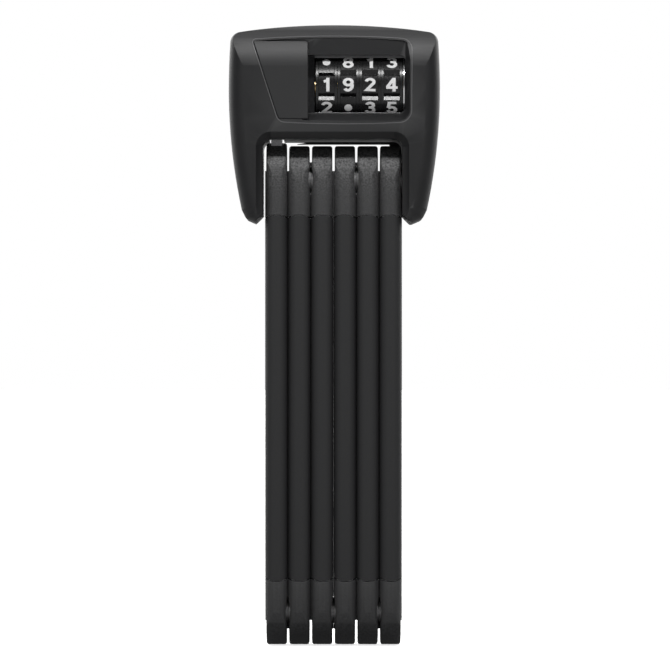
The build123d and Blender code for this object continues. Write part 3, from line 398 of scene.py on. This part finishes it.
def flat_figure(figure):
    """One figure as a flat mesh of triangles, its box centred on the origin, in x and z."""
    points, edges, faces = [], [], []

    def loop(corners, hole=None):
        """Add one closed outline; a ring is cut into quads so that its middle stays open."""
        if hole is None:
            start = len(points)
            points.extend(corners)
            faces.append(list(range(start, start + len(corners))))
            return
        count = len(corners)
        for index in range(count):
            after = (index + 1) % count
            start = len(points)
            points.extend((corners[index], corners[after], hole[after], hole[index]))
            faces.append([start, start + 1, start + 2, start + 3])

    if figure == 0:
        size = DOT_SIZE / FIGURE_HEIGHT
        loop([Vector(p) for p in arc(0.0, 0.5, size / 2, size / 2, 0, 348, 30)])
    else:
        for line, closed in figure_strokes(figure):
            narrow = [(x * SQUEEZE, y) for x, y in line]
            sides = stroke(narrow, STROKE, closed)
            left, right = ([Vector((v.x / SQUEEZE, v.y)) for v in side] for side in sides)
            if closed:
                loop(right, left)
            else:
                for index in range(len(left) - 1):
                    loop([left[index], right[index], right[index + 1], left[index + 1]])
    for row in range(BEND_ROWS + 1):
        y = row / BEND_ROWS
        start = len(points)
        points.extend((Vector((-0.6, y)), Vector((0.6, y))))
        edges.append((start, start + 1))
    result = delaunay_2d_cdt(points, edges, faces, 1, 1e-5)
    verts, tris, origin = result[0], result[2], result[5]
    shape = bmesh.new()
    made = [
        shape.verts.new((v.x * FIGURE_HEIGHT, 0.0, (v.y - 0.5) * FIGURE_HEIGHT)) for v in verts
    ]
    for corners, source in zip(tris, origin):
        if source:
            shape.faces.new([made[c] for c in corners])
    loose = [v for v in shape.verts if not v.link_faces]
    bmesh.ops.delete(shape, geom=loose, context="VERTS")
    return shape


def wrap_figures(wheel):
    """All the figures of one wheel, wrapped round its rim as thin closed plates."""
    low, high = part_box(f"dial_wheel_{wheel + 1}")
    joint = next(j for j in frame["joints"] if j["name"] == f"dial_{wheel + 1}")
    centre = Vector(joint["pos_m"])
    radius = centre.y - low[1]
    whole = bmesh.new()
    for figure in range(FIGURES):
        turn = (FACING[wheel] - figure) * 2 * math.pi / FIGURES
        shape = flat_figure(figure)
        outer = radius + FIGURE_RISE
        inner = radius - FIGURE_SINK
        result = bmesh.ops.extrude_face_region(shape, geom=shape.faces[:])
        raised = {e for e in result["geom"] if isinstance(e, bmesh.types.BMVert)}
        for v in shape.verts:
            reach = outer if v in raised else inner
            angle = turn + v.co.z / radius
            v.co = Vector(
                (
                    centre.x + v.co.x,
                    centre.y - reach * math.cos(angle),
                    centre.z + reach * math.sin(angle),
                )
            )
        bmesh.ops.recalc_face_normals(shape, faces=shape.faces)
        mesh = bpy.data.meshes.new("part")
        shape.to_mesh(mesh)
        shape.free()
        whole.from_mesh(mesh)
        bpy.data.meshes.remove(mesh)
    mesh = bpy.data.meshes.new(f"dial_figures_{wheel + 1}")
    whole.to_mesh(mesh)
    whole.free()
    mesh.materials.append(FIGURE_WHITE)
    piece = bpy.data.objects.new(f"dial_figures_{wheel + 1}", mesh)
    bpy.context.scene.collection.objects.link(piece)
    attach(piece, f"wheel_{wheel + 1}")


for wheel in range(4):
    wrap_figures(wheel)


# ---------------------------------------------------------------- floor, lights and camera
def make_floor():
    """A plain pale floor that throws little light back up, well out of sight at its rim."""
    material, tree, shader = new_material("floor_white")
    cloud = noise(tree, object_coords(tree), 60.0, 2.0)
    pale = colours(tree, cloud, FLOOR_PALE, FLOOR_PALER)
    path = tree.nodes.new("ShaderNodeLightPath")
    bounced = colours(tree, cloud, FLOOR_BOUNCE, FLOOR_BOUNCE)
    seen = mix_colour(tree, path.outputs["Is Camera Ray"], bounced, pale)
    tree.links.new(seen, shader.inputs["Base Color"])
    tree.links.new(seen, shader.inputs["Emission Color"])
    shader.inputs["Emission Strength"].default_value = FLOOR_GLOW
    shader.inputs["Roughness"].default_value = 0.9
    shader.inputs["Specular IOR Level"].default_value = 0.0
    mesh = bpy.data.meshes.new("floor")
    shape = bmesh.new()
    bmesh.ops.create_circle(shape, cap_ends=True, segments=96, radius=FLOOR_RADIUS)
    for v in shape.verts:
        v.co.z = CAD_BOX[0][2] - FLOOR_DROP
    shape.to_mesh(mesh)
    shape.free()
    mesh.materials.append(material)
    floor = bpy.data.objects.new("floor", mesh)
    bpy.context.scene.collection.objects.link(floor)


def area_light(name, place, target, size, power):
    """A soft rectangular light that faces a point."""
    data = bpy.data.lights.new(name, "AREA")
    data.shape = "RECTANGLE"
    data.size, data.size_y = size
    data.energy = power
    light = bpy.data.objects.new(name, data)
    light.location = place
    aim = Vector(target) - Vector(place)
    light.rotation_euler = aim.to_track_quat("-Z", "Y").to_euler()
    bpy.context.scene.collection.objects.link(light)


def make_world():
    """A studio that is bright behind the lock and dim elsewhere; the camera sees it white."""
    world = bpy.data.worlds.new("studio")
    bpy.context.scene.world = world
    world.use_nodes = True
    tree = world.node_tree
    tree.nodes.clear()
    coords = tree.nodes.new("ShaderNodeTexCoord")
    split = tree.nodes.new("ShaderNodeSeparateXYZ")
    tree.links.new(coords.outputs["Generated"], split.inputs["Vector"])
    front = remap(tree, split.outputs["Y"], FRONT_LEVEL, SIDE_LEVEL, -0.95, -0.2)
    behind = remap(tree, split.outputs["Y"], 0.0, BACK_LEVEL, 0.0, 0.45)
    total = tree.nodes.new("ShaderNodeMath")
    total.operation = "ADD"
    tree.links.new(front, total.inputs[0])
    tree.links.new(behind, total.inputs[1])
    light = tree.nodes.new("ShaderNodeBackground")
    tree.links.new(total.outputs["Value"], light.inputs["Strength"])
    white = tree.nodes.new("ShaderNodeBackground")
    white.inputs["Strength"].default_value = 1.0
    for node in (light, white):
        node.inputs["Color"].default_value = (1.0, 1.0, 1.0, 1.0)
    path = tree.nodes.new("ShaderNodeLightPath")
    mix = tree.nodes.new("ShaderNodeMixShader")
    tree.links.new(path.outputs["Is Camera Ray"], mix.inputs["Fac"])
    tree.links.new(light.outputs["Background"], mix.inputs[1])
    tree.links.new(white.outputs["Background"], mix.inputs[2])
    output = tree.nodes.new("ShaderNodeOutputWorld")
    tree.links.new(mix.outputs["Shader"], output.inputs["Surface"])


def make_sun():
    """A wide soft light from above and behind."""
    data = bpy.data.lights.new("overhead", "SUN")
    data.energy = SUN_STRENGTH
    data.angle = math.radians(SUN_SPREAD_DEG)
    sun = bpy.data.objects.new("overhead", data)
    sun.rotation_euler = (math.radians(SUN_TILT_DEG), 0.0, 0.0)
    bpy.context.scene.collection.objects.link(sun)


make_floor()
make_world()
area_light("key", KEY_PLACE, KEY_AIM, KEY_SIZE, KEY_POWER)
make_sun()

camera_data = bpy.data.cameras.new("camera")
camera_data.sensor_width = CAMERA_SENSOR
camera_data.lens = CAMERA_LENS
camera_data.clip_start = 0.05
camera_data.clip_end = 50.0
camera = bpy.data.objects.new("camera", camera_data)
camera.location = CAMERA_PLACE
camera.rotation_euler = (math.pi / 2, 0.0, 0.0)
bpy.context.scene.collection.objects.link(camera)
bpy.context.scene.camera = camera
bpy.context.scene.view_settings.view_transform = "Standard"
